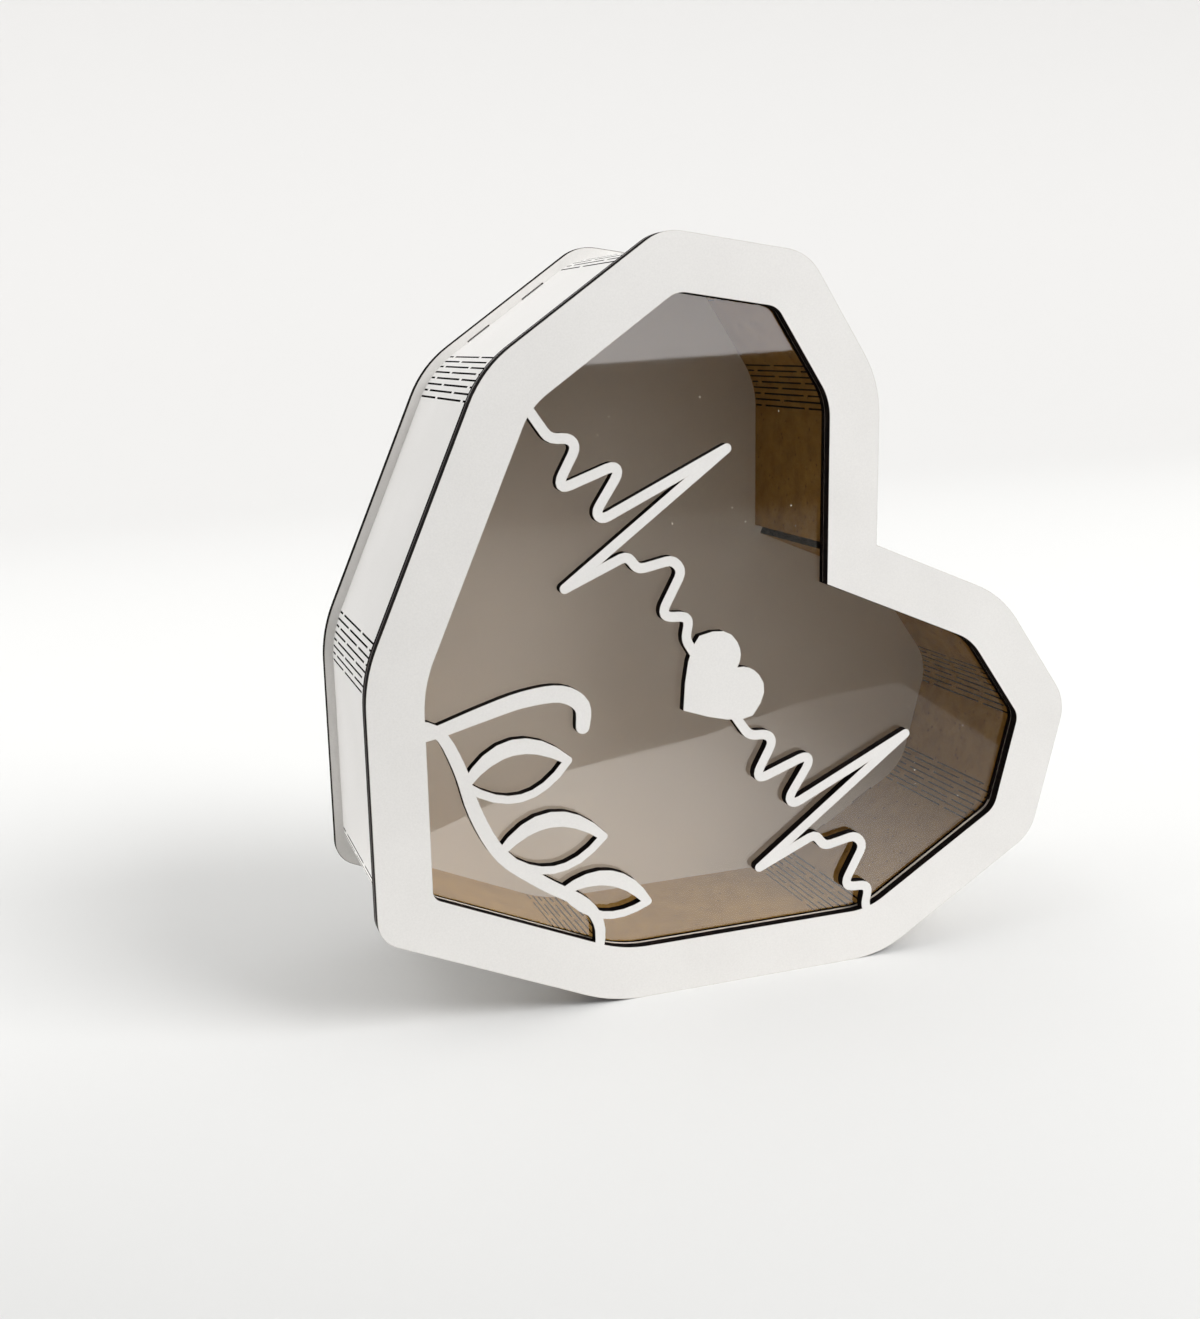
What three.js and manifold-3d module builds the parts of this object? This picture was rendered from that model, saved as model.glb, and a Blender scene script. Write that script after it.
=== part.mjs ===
// Heart-shaped gift box of laser-cut board with a smoked window.
// Millimetres, +Z up, front towards -Y. The box stands on the right-hand lower side of the heart.
// The panels are drawn with the heart upright, x across and y up from its tip, and then leaned over.
import * as THREE from 'three';
import { mergeVertices } from 'three/addons/utils/BufferGeometryUtils.js';
import Module from 'manifold-3d';

const wasm = await Module();
wasm.setup();

// Heart outline of the two flat plates
const heartWidth = 237.3;
const heartHeight = 223.8;
const notchDepth = 28.8;

// One side of the heart: corners from the tip to the lobe, as shares of the half width and the height
const sideCorners = [
  { across: 0.556, up: 0.195, plateRadius: 47, windowRadius: 40 },
  { across: 0.984, up: 0.548, plateRadius: 37, windowRadius: 22 },
  { across: 1.0, up: 0.845, plateRadius: 15, windowRadius: 8 },
  { across: 0.737, up: 1.0, plateRadius: 15, windowRadius: 6 },
  { across: 0.352, up: 0.996, plateRadius: 35, windowRadius: 18 },
];
const tipCorner = { plateRadius: 9, windowRadius: 3.5 };

// Board, pane and clearances
const boardThickness = 3;
const frameThickness = 1.5;
const paneThickness = 1;
const layerGap = 0.3;
const wallDepth = 72;
const plateOverhang = 3;
const borderWidth = 16.9;

// Living hinges of the bent wall: every corner is bent over the same length of saw-thin cuts
const hingeLength = 18.4;
const kerfPitch = 2.6;
const kerfWidth = 0.35;
const kerfGroove = 1.2;
const seamGap = 0.4;

// Tabs of the wall in the slots of the back plate, on the upright side of each lobe: that side
// runs from the corner with this number, counted from the tip, to the next one
const tabbedCorner = 2;
const tabLength = 8.2;
const tabSpacing = 23.2;
const tabClearance = 0.3;

// Pulse line across the window, with a small heart in the middle
const pulseLevel = 0.5675;
const pulseStroke = 3.1;
const beatSpacing = 113.2;
const beatShift = 1.7;
const beatRounding = 2.4;
const sharpAngle = 0.5;
const smallHeartWidth = 31.2;
const smallHeartHeight = 26.1;
const smallHeartNotch = 4.4;
const smallHeartShift = 2.9;
const smallHeartDrop = 12.5;

// Scrollwork below the pulse line
const sweepStroke = 5.2;
const vineStroke = 4.4;
const leafStroke = 5;
const hairStroke = 2.6;

// Size of the heart that the line work is drawn for
const drawnWidth = 237.3;
const drawnHeight = 223.8;

// Colours
const laminate = new THREE.MeshStandardMaterial({ color: 0xe4e3e0, roughness: 0.55, metalness: 0 });
const wallWhite = new THREE.MeshStandardMaterial({ color: 0xebeae7, roughness: 0.5, metalness: 0 });
const fibre = new THREE.MeshStandardMaterial({ color: 0x8a6b46, roughness: 0.9, metalness: 0 });
const smoked = new THREE.MeshStandardMaterial({ color: 0x5b5148, roughness: 0.05, metalness: 0 });

// Fineness of the round stretches
const arcSteps = 4;
const strokeSides = 16;
const splineSteps = 4;
const roundingSteps = 3;
const sameSpot = 0.01;
const weldReach = 1e-4;

// Corner points of the heart, clockwise from the tip up the left side
function heartCorners() {
  const place = (corner, side) => ({
    point: new THREE.Vector2(side * corner.across * heartWidth / 2, corner.up * heartHeight),
    plateRadius: corner.plateRadius,
    windowRadius: corner.windowRadius,
  });
  const tip = { point: new THREE.Vector2(0, 0), ...tipCorner };
  const notch = { point: new THREE.Vector2(0, heartHeight - notchDepth), plateRadius: 0, windowRadius: 0 };
  const left = sideCorners.map((corner) => place(corner, -1));
  const right = sideCorners.map((corner) => place(corner, 1)).reverse();
  return [tip, ...left, notch, ...right];
}

// Points before and after one point of a closed run
function neighbours(points, i) {
  const count = points.length;
  return [points[(i + count - 1) % count], points[(i + 1) % count]];
}

// Moves every side of a clockwise outline inwards by the same distance
function inset(points, distance) {
  return points.map((point, i) => {
    const [before, after] = neighbours(points, i);
    const first = point.clone().sub(before).normalize();
    const second = after.clone().sub(point).normalize();
    const sum = new THREE.Vector2(first.y + second.y, -first.x - second.x);
    const reach = distance * 2 / sum.lengthSq();
    return point.clone().addScaledVector(sum, reach);
  });
}

// Turn of the outline at each corner, positive where the corner points outwards
function turns(points) {
  return points.map((point, i) => {
    const [before, after] = neighbours(points, i);
    const first = point.clone().sub(before);
    const second = after.clone().sub(point);
    return Math.atan2(-first.cross(second), first.dot(second));
  });
}

// Centre, ends and radius of the arc that rounds a corner, kept shorter than its two sides allow
function cornerArc(points, i, radius) {
  const point = points[i];
  const [before, after] = neighbours(points, i);
  const toBefore = before.clone().sub(point);
  const toAfter = after.clone().sub(point);
  const half = Math.abs(turns(points)[i]) / 2;
  const room = 0.45 * Math.min(toBefore.length(), toAfter.length());
  const length = Math.min(radius * Math.tan(half), room);
  const start = point.clone().addScaledVector(toBefore.normalize(), length);
  const end = point.clone().addScaledVector(toAfter.normalize(), length);
  const size = length / Math.tan(half);
  const middle = start.clone().add(end).multiplyScalar(0.5).sub(point).normalize();
  const centre = point.clone().addScaledVector(middle, size / Math.cos(half));
  return { centre, start, end, size };
}

// Closed outline with rounded corners
function roundedShape(points, radii) {
  const shape = new THREE.Shape();
  points.forEach((point, i) => {
    if (radii[i] <= 0) {
      shape.lineTo(point.x, point.y);
      return;
    }
    const arc = cornerArc(points, i, radii[i]);
    const from = arc.start.clone().sub(arc.centre).angle();
    const to = arc.end.clone().sub(arc.centre).angle();
    if (i === 0) shape.moveTo(arc.start.x, arc.start.y);
    else shape.lineTo(arc.start.x, arc.start.y);
    shape.absarc(arc.centre.x, arc.centre.y, arc.size, from, to, true);
  });
  shape.closePath();
  return shape;
}

// Slab with the given outline, from one depth to another behind the front face
function slab(shape, nearDepth, farDepth) {
  const geometry = new THREE.ExtrudeGeometry(shape, {
    depth: farDepth - nearDepth,
    bevelEnabled: false,
    curveSegments: arcSteps,
  });
  return geometry.translate(0, 0, -farDepth);
}

function toSolid(geometry) {
  const bare = geometry.clone();
  bare.deleteAttribute('normal');
  bare.deleteAttribute('uv');
  const merged = mergeVertices(bare, weldReach);
  return new wasm.Manifold(new wasm.Mesh({
    numProp: 3,
    vertProperties: new Float32Array(merged.attributes.position.array),
    triVerts: new Uint32Array(merged.index.array),
  }));
}

function toGeometry(solid) {
  const mesh = solid.getMesh();
  const geometry = new THREE.BufferGeometry();
  geometry.setAttribute('position', new THREE.BufferAttribute(mesh.vertProperties, 3));
  geometry.setIndex(new THREE.BufferAttribute(mesh.triVerts, 1));
  geometry.computeVertexNormals();
  return geometry;
}

// Closed runs of points round the front face of a slab, its outline first and then its holes
function rimLoops(solid) {
  const { vertProperties: place, triVerts: sides } = solid.getMesh();
  const inFront = (v) => place[3 * v + 2] > -sameSpot;
  const edges = new Set();
  for (let i = 0; i < sides.length; i += 3) {
    const [a, b, c] = sides.slice(i, i + 3);
    if (![a, b, c].every(inFront)) continue;
    for (const [from, to] of [[a, b], [b, c], [c, a]]) edges.add(`${from} ${to}`);
  }
  const follows = new Map();
  for (const edge of edges) {
    const [from, to] = edge.split(' ');
    if (!edges.has(`${to} ${from}`)) follows.set(from, to);
  }
  const loops = [];
  while (follows.size > 0) {
    const loop = [];
    let at = follows.keys().next().value;
    while (follows.has(at)) {
      loop.push(new THREE.Vector2(place[3 * at], place[3 * at + 1]));
      const following = follows.get(at);
      follows.delete(at);
      at = following;
    }
    loops.push(withoutSpares(loop));
  }
  const area = (loop) => Math.abs(THREE.ShapeUtils.area(loop));
  return loops.filter((loop) => loop.length > 2).sort((a, b) => area(b) - area(a));
}

// Leaves out points that repeat the last one or lie on a straight line
function withoutSpares(loop) {
  const apart = loop.filter((point, i) => point.distanceTo(neighbours(loop, i)[0]) > sameSpot);
  return apart.filter((point, i) => {
    const [before, after] = neighbours(apart, i);
    const span = after.clone().sub(before);
    return Math.abs(span.cross(point.clone().sub(before))) > sameSpot * span.length() / 2;
  });
}

// Same slab with no points left inside its flat faces
function redrawn(solid, thickness) {
  const [outline, ...holes] = rimLoops(solid);
  const shape = new THREE.Shape(outline);
  shape.holes = holes.map((hole) => new THREE.Path(hole));
  return slab(shape, 0, thickness);
}

const corners = heartCorners();
const plateOutline = corners.map((corner) => corner.point);
const plateRadii = corners.map((corner) => corner.plateRadius);
const windowOutline = inset(plateOutline, borderWidth);
const windowRadii = corners.map((corner) => corner.windowRadius);
const wallOutline = inset(plateOutline, plateOverhang);

// Depths behind the front face, layer by layer
const paneFront = boardThickness + layerGap;
const ringFront = paneFront + paneThickness + layerGap;
const wallFront = ringFront + frameThickness + layerGap;
const backFront = wallFront + wallDepth + layerGap;
const backRear = backFront + boardThickness;

// Outline of the smallest convex loop around some points
function hull(points) {
  const sorted = [...points].sort((a, b) => a.x - b.x || a.y - b.y);
  const half = (list) => {
    const chain = [];
    for (const point of list) {
      while (chain.length > 1) {
        const last = chain[chain.length - 1];
        const edge = last.clone().sub(chain[chain.length - 2]);
        if (edge.cross(point.clone().sub(last)) > 0) break;
        chain.pop();
      }
      chain.push(point);
    }
    return chain.slice(0, -1);
  };
  return [...half(sorted), ...half(sorted.reverse())];
}

function disc(centre, radius) {
  return Array.from({ length: strokeSides }, (_, i) => {
    const angle = (i + 0.5) * 2 * Math.PI / strokeSides;
    return new THREE.Vector2(Math.cos(angle), Math.sin(angle)).multiplyScalar(radius).add(centre);
  });
}

// Stroke of changing width along a run of points, with round ends and corners
function strokeSolid(points, widthAt) {
  const discs = points.map((point, i) => disc(point, widthAt(i / (points.length - 1)) / 2));
  const links = discs.slice(1).map((last, i) => {
    return toSolid(slab(new THREE.Shape(hull([...discs[i], ...last])), 0, boardThickness));
  });
  return wasm.Manifold.union(links);
}

// Point of the line work, from its place on the drawn heart
function drawn(x, y) {
  return new THREE.Vector2(x * heartWidth / drawnWidth, y * heartHeight / drawnHeight);
}

// One beat of the pulse line, from the foot of its peak
const beat = [
  [-42.6, 0], [-34.7, 0.2], [-31.2, 5.4], [-27.9, 5.4], [-22.8, -4.4], [-20.6, -4.4], [-16.8, 11.8],
  [-14.2, 11.8], [-8.9, -0.6], [-6, -0.2], [0, 43.4], [3.7, -21], [7.4, 0.2], [12.9, 0.2], [17.2, 11],
  [21.9, 11.4], [28.1, -0.4], [30.6, -0.4], [33.8, 4.4], [36.2, 4.4], [39.6, 0.6], [43.2, 0.4],
];

// Run of points with its corners rounded off, apart from the sharp peaks
function rounded(points, reach) {
  return points.flatMap((point, i) => {
    if (i === 0 || i === points.length - 1) return [point];
    const [before, after] = neighbours(points, i).map((other) => other.clone().sub(point));
    if (before.angleTo(after) < sharpAngle) return [point];
    const [from, to] = [before, after].map((way) => {
      return way.setLength(Math.min(reach, way.length() / 2)).add(point);
    });
    return new THREE.QuadraticBezierCurve(from, point, to).getPoints(roundingSteps);
  });
}

// The two beats, each running from the middle of the border to the middle of the small heart
function pulseLine() {
  const level = pulseLevel * heartHeight;
  const reach = (heartWidth - borderWidth) / 2;
  const strokes = [-1, 1].map((side) => {
    const peak = beatShift + side * beatSpacing / 2;
    const points = beat.map(([x, y]) => drawn(x + peak, y).add(new THREE.Vector2(0, level)));
    const outerEnd = new THREE.Vector2(side * reach, level);
    const innerEnd = new THREE.Vector2(smallHeartShift, level);
    const run = side < 0 ? [outerEnd, ...points, innerEnd] : [innerEnd, ...points, outerEnd];
    return strokeSolid(rounded(run, beatRounding), () => pulseStroke);
  });
  return wasm.Manifold.union(strokes);
}

// Small heart with round lobes and bowed sides
function smallHeart() {
  const half = smallHeartWidth / 2;
  const side = (sign) => {
    const at = (across, up) => [smallHeartShift + sign * across * half, tip + up * smallHeartHeight];
    return {
      low: at(0.98, 0.42),
      wide: at(1.03, 0.66),
      top: at(0.86, 1.03),
      crown: at(0.42, 1),
      inner: at(0.12, 0.98),
    };
  };
  const tip = pulseLevel * heartHeight - smallHeartDrop;
  const dip = tip + smallHeartHeight - smallHeartNotch;
  const left = side(-1);
  const right = side(1);
  const shape = new THREE.Shape();
  shape.moveTo(smallHeartShift, tip);
  shape.quadraticCurveTo(...left.low, ...left.wide);
  shape.quadraticCurveTo(...left.top, ...left.crown);
  shape.quadraticCurveTo(...left.inner, smallHeartShift, dip);
  shape.quadraticCurveTo(...right.inner, ...right.crown);
  shape.quadraticCurveTo(...right.top, ...right.wide);
  shape.quadraticCurveTo(...right.low, smallHeartShift, tip);
  return toSolid(slab(shape, 0, boardThickness));
}

// Point in the middle of the border along one of the two lower sides of the heart
function lowerBorder(x) {
  const side = sideCorners[0];
  const slope = side.up * heartHeight / (side.across * heartWidth / 2);
  const place = x * heartWidth / drawnWidth;
  return new THREE.Vector2(place, Math.abs(place) * slope + borderWidth / 2 * Math.hypot(1, slope));
}

// Stroke that swells from its start width to its middle width and ends in its end width
function swelling(start, middle, end) {
  return (t) => (1 - t) * start + t * end + 4 * t * (1 - t) * (middle - (start + end) / 2);
}

function splineStroke(points, widthAt) {
  const curve = new THREE.SplineCurve(points);
  return strokeSolid(curve.getPoints((points.length - 1) * splineSteps), widthAt);
}

// Open leaf with one thick and one thin side between its foot and its tip
function leaf(foot, tip, bulge) {
  const middle = foot.clone().add(tip).multiplyScalar(0.5);
  const across = tip.clone().sub(foot).normalize().rotateAround(new THREE.Vector2(), Math.PI / 2);
  const sides = [[bulge, swelling(hairStroke, leafStroke, hairStroke)], [-bulge, () => hairStroke]];
  return sides.map(([offset, widthAt]) => {
    const control = middle.clone().addScaledVector(across, 2 * offset);
    const curve = new THREE.QuadraticBezierCurve(foot, control, tip);
    return strokeSolid(curve.getPoints(2 * splineSteps), widthAt);
  });
}

// Vine with three leaves and a tall curled tendril, held by the border at both ends
function scrollwork() {
  const tendril = [
    lowerBorder(-45), drawn(-40.5, 51), drawn(-36.5, 64), drawn(-32, 77), drawn(-26, 87), drawn(-19, 90),
    drawn(-13.5, 86.5),
  ];
  const vine = [
    lowerBorder(-50), drawn(-41, 51), drawn(-28, 50), drawn(-13, 45.5), drawn(3, 44), drawn(19, 49),
    drawn(33, 55), drawn(43, 54), lowerBorder(53),
  ];
  return wasm.Manifold.union([
    splineStroke(tendril, swelling(hairStroke, sweepStroke, vineStroke)),
    splineStroke(vine, swelling(hairStroke, vineStroke, hairStroke)),
    ...leaf(drawn(-22, 48), drawn(-8, 77), 8),
    ...leaf(drawn(2, 44), drawn(19, 72), 8),
    ...leaf(drawn(25, 52), drawn(46, 71), 6),
  ]);
}

// Board of the full outline with the window cut out
function windowFrame(nearDepth, farDepth) {
  const plate = toSolid(slab(roundedShape(plateOutline, plateRadii), nearDepth, farDepth));
  const opening = toSolid(slab(roundedShape(windowOutline, windowRadii), nearDepth - 1, farDepth + 1));
  return plate.subtract(opening);
}

function frontPlate() {
  const lineWork = wasm.Manifold.union([pulseLine(), smallHeart(), scrollwork()]);
  return redrawn(windowFrame(0, boardThickness).add(lineWork), boardThickness);
}

function windowPane() {
  return slab(roundedShape(plateOutline, plateRadii), paneFront, paneFront + paneThickness);
}

function rearFrame() {
  return toGeometry(windowFrame(ringFront, ringFront + frameThickness));
}

// Outer and inner run of the wall at one of its bends, with a groove at each hinge cut
function wallBend(points, i) {
  const turn = turns(points)[i];
  const { centre, start, size } = cornerArc(points, i, hingeLength / turn);
  const first = start.clone().sub(centre).angle();
  const at = (angle, radius) => new THREE.Vector2(Math.cos(angle), Math.sin(angle))
    .multiplyScalar(radius).add(centre);
  const count = Math.floor(hingeLength / kerfPitch) + 1;
  const pitch = Math.min(kerfPitch, size * turn / count);
  const halfCut = kerfWidth / 2 / size;
  const outer = [];
  for (let k = 0; k < count; k += 1) {
    const angle = first - turn / 2 - (k - (count - 1) / 2) * pitch / size;
    outer.push(at(angle + halfCut, size), at(angle + halfCut, size - kerfGroove));
    outer.push(at(angle - halfCut, size - kerfGroove), at(angle - halfCut, size));
  }
  const inner = Array.from({ length: count }, (_, k) => {
    return at(first - turn * k / (count - 1), Math.max(size - boardThickness, 1));
  });
  return { outer, inner };
}

// Tab of the wall, grown on all sides for the slot that takes it
function tabShape(from, to, offset, grow) {
  const along = to.clone().sub(from).normalize();
  const inward = new THREE.Vector2(along.y, -along.x);
  const middle = from.clone().add(to).multiplyScalar(0.5).addScaledVector(along, offset);
  const corner = (s, t) => middle.clone()
    .addScaledVector(along, s * (tabLength / 2 + grow))
    .addScaledVector(inward, boardThickness / 2 + t * (boardThickness / 2 + grow));
  return new THREE.Shape([corner(-1, -1), corner(1, -1), corner(1, 1), corner(-1, 1)]);
}

// Tabs or slots of both lobes, between two depths
function tabSolids(grow, nearDepth, farDepth) {
  const tabbedSide = (outline) => outline.slice(tabbedCorner, tabbedCorner + 2);
  const [tip, ...others] = wallOutline;
  const left = tabbedSide(wallOutline);
  const right = tabbedSide([tip, ...others.reverse()]).reverse();
  return [left, right].flatMap(([from, to]) => [-1, 1].map((sign) => {
    return toSolid(slab(tabShape(from, to, sign * tabSpacing / 2, grow), nearDepth, farDepth));
  }));
}

// One strip, bent round the heart from the notch back to the notch, with square-cut ends
function wallStrip() {
  const notch = sideCorners.length + 1;
  const points = [...wallOutline.slice(notch), ...wallOutline.slice(0, notch)];
  const end = (towards) => {
    const along = towards.clone().sub(points[0]).normalize();
    const outer = points[0].clone().addScaledVector(along, seamGap / 2);
    const across = new THREE.Vector2(along.y, -along.x);
    if (across.y > 0) across.negate();
    return [outer, outer.clone().addScaledVector(across, boardThickness)];
  };
  const [firstOuter, firstInner] = end(points[1]);
  const [lastOuter, lastInner] = end(points[points.length - 1]);
  const bends = points.slice(1).map((_, i) => wallBend(points, i + 1));
  const outer = [firstOuter, ...bends.flatMap((bend) => bend.outer), lastOuter];
  const inner = [firstInner, ...bends.flatMap((bend) => bend.inner), lastInner];
  const run = new THREE.Shape([...outer, ...inner.reverse()]);
  const strip = toSolid(slab(run, wallFront, wallFront + wallDepth));
  const tabs = tabSolids(0, wallFront + wallDepth - boardThickness, backRear);
  return toGeometry(wasm.Manifold.union([strip, ...tabs]));
}

function backPlate() {
  const plate = toSolid(slab(roundedShape(plateOutline, plateRadii), backFront, backRear));
  const slots = tabSolids(tabClearance, backFront - 1, backRear + 1);
  return toGeometry(plate.subtract(wasm.Manifold.union(slots)));
}

function addPiece(parent, name, geometry, material) {
  const mesh = new THREE.Mesh(geometry, material);
  mesh.name = name;
  parent.add(mesh);
}

// The heart leans over until its right-hand lower side lies flat
const panels = new THREE.Group();
const lowerSide = plateOutline[plateOutline.length - 2].clone().sub(plateOutline[plateOutline.length - 1]);
panels.rotation.z = -lowerSide.angle();
addPiece(panels, 'front_plate', frontPlate(), laminate);
addPiece(panels, 'window_pane', windowPane(), smoked);
addPiece(panels, 'rear_frame', rearFrame(), fibre);
addPiece(panels, 'wall_strip', wallStrip(), wallWhite);
addPiece(panels, 'back_plate', backPlate(), laminate);

const upright = new THREE.Group();
upright.rotation.x = Math.PI / 2;
upright.add(panels);

// The origin lies under the middle of the whole box, on the surface it stands on
const group = new THREE.Group();
group.add(upright);
group.updateMatrixWorld(true);
const bounds = new THREE.Box3().setFromObject(group, true);
const middle = bounds.getCenter(new THREE.Vector3());
upright.position.set(-middle.x, -middle.y, -bounds.min.z);

export default group;
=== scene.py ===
"""Heart-shaped gift box of laser-cut fibreboard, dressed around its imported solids.

The box stands on one lower side of the heart. Its front is a sandwich of a laminated plate with
cut-out line work, a smoked acrylic pane and a frame; its wall is one strip bent over living
hinges; its back is a closed plate that takes the tabs of the wall. Lengths are in metres, unless
a name ends in _mm. Panel coordinates are drawn with the heart upright: u across and v up from
the tip, and depth behind the front face.
"""
import logging
import math
import random
from dataclasses import dataclass
from enum import Enum

import bmesh
import bpy
from mathutils import Matrix, Vector


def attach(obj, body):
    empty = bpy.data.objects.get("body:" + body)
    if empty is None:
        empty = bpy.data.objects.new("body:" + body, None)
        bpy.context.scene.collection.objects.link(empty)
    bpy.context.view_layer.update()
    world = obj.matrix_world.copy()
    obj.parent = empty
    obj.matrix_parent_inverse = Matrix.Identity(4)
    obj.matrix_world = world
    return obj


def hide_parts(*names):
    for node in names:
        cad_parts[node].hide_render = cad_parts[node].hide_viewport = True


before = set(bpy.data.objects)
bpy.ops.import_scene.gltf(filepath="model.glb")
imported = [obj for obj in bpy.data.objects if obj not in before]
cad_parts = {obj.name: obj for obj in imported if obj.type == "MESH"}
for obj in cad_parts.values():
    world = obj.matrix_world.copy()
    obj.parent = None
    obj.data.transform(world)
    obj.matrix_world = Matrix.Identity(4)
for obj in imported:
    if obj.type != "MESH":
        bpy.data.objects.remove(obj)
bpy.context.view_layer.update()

log = logging.getLogger("gift_box")
MM = 0.001


class Layer(Enum):
    """Material slots of a cut board, in the order that every board mesh uses."""

    FACE = 0
    BACK = 1
    EDGE = 2


def linear(hex_colour: str) -> tuple[float, float, float, float]:
    """Turns an sRGB hex colour into linear RGBA.

    Args:
        hex_colour: Colour such as "#e9e8e5".

    Returns:
        Linear red, green, blue and alpha.
    """
    parts = [int(hex_colour[i:i + 2], 16) / 255 for i in (1, 3, 5)]
    low = [c / 12.92 if c <= 0.04045 else ((c + 0.055) / 1.055) ** 2.4 for c in parts]
    return (low[0], low[1], low[2], 1.0)


def add_node(
    material: bpy.types.Material, kind: str, settings: dict | None = None, **inputs: object
) -> bpy.types.Node:
    """Adds a shader node with its settings and links.

    Args:
        material: Material whose tree takes the node.
        kind: Node type, such as "ShaderNodeTexNoise".
        settings: Attributes to set on the node.
        **inputs: Socket names, with _ for a space, or i0, i1 and so on for a socket's number,
            to values or to output sockets.

    Returns:
        The new node.
    """
    node = material.node_tree.nodes.new(kind)
    for key, value in (settings or {}).items():
        setattr(node, key, value)
    for key, value in inputs.items():
        numbered = key[0] == "i" and key[1:].isdigit()
        socket = node.inputs[int(key[1:]) if numbered else key.replace("_", " ")]
        if isinstance(value, bpy.types.NodeSocket):
            material.node_tree.links.new(value, socket)
        else:
            socket.default_value = value
    return node


def new_material(name: str) -> bpy.types.Material:
    """Makes an empty node material with only its output.

    Args:
        name: Name of the material.

    Returns:
        The material.
    """
    material = bpy.data.materials.new(name)
    material.use_nodes = True
    for node in list(material.node_tree.nodes):
        if node.type != "OUTPUT_MATERIAL":
            material.node_tree.nodes.remove(node)
    return material


def finish_material(material: bpy.types.Material, shader: bpy.types.Node) -> bpy.types.Material:
    """Joins a shader to the material's output.

    Args:
        material: Material to finish.
        shader: Its shader node.

    Returns:
        The same material.
    """
    output = next(n for n in material.node_tree.nodes if n.type == "OUTPUT_MATERIAL")
    material.node_tree.links.new(shader.outputs[0], output.inputs["Surface"])
    return material


@dataclass(frozen=True)
class MelamineFace:
    """White melamine paper pressed on fibreboard: even and satin, with a fine paper grain.

    The grain is drawn coarser than the real paper's, so that it shows in the render.
    """

    name: str = "melamine_face"
    light: str = "#e5e3e0"
    dark: str = "#dcdad7"
    soot: str = "#b3a99c"
    grain_mm: float = 0.55
    grain_height_mm: float = 0.05
    cloud_mm: float = 26.0
    soot_patch_mm: float = 3.0
    roughness: float = 0.5
    gloss: float = 0.25

    def make(self) -> bpy.types.Material:
        """Builds the material: grain and faint clouds, grain in bump, soot along the cuts."""
        m = new_material(self.name)
        place = add_node(m, "ShaderNodeTexCoord").outputs["Object"]
        grain = add_node(m, "ShaderNodeTexNoise", Vector=place, Scale=1 / (self.grain_mm * MM),
                         Detail=3.0, Roughness=0.65).outputs["Fac"]
        cloud = add_node(m, "ShaderNodeTexNoise", Vector=place, Scale=1 / (self.cloud_mm * MM),
                         Detail=2.0, Roughness=0.5).outputs["Fac"]
        mixed = add_node(m, "ShaderNodeMath", {"operation": "MULTIPLY_ADD"},
                         i0=cloud, i1=0.6, i2=grain).outputs[0]
        shade = add_node(m, "ShaderNodeMapRange", Value=mixed,
                         From_Min=0.5, From_Max=1.1).outputs[0]
        paper = add_node(m, "ShaderNodeMix", {"data_type": "RGBA"}, i0=shade,
                         i6=linear(self.dark), i7=linear(self.light)).outputs[2]
        rim = add_node(m, "ShaderNodeAttribute", {"attribute_name": "cut_rim"}).outputs["Fac"]
        smoke = add_node(m, "ShaderNodeMath", {"operation": "POWER"}, i0=rim, i1=2.5).outputs[0]
        patchy = add_node(m, "ShaderNodeTexNoise", Vector=place,
                          Scale=1 / (self.soot_patch_mm * MM), Detail=2.0)
        amount = add_node(m, "ShaderNodeMath", {"operation": "MULTIPLY"},
                          i0=smoke, i1=patchy.outputs["Fac"]).outputs[0]
        colour = add_node(m, "ShaderNodeMix", {"data_type": "RGBA"}, i0=amount,
                          i6=paper, i7=linear(self.soot)).outputs[2]
        satin = add_node(m, "ShaderNodeMapRange", Value=grain, From_Min=0.3, From_Max=0.7,
                         To_Min=self.roughness - 0.06, To_Max=self.roughness + 0.08).outputs[0]
        bump = add_node(m, "ShaderNodeBump", Strength=0.16, Distance=self.grain_height_mm * MM,
                        Height=grain)
        shader = add_node(m, "ShaderNodeBsdfPrincipled", Base_Color=colour, Roughness=satin,
                          IOR=1.5, Specular_IOR_Level=self.gloss, Normal=bump.outputs[0])
        return finish_material(m, shader)


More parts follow.
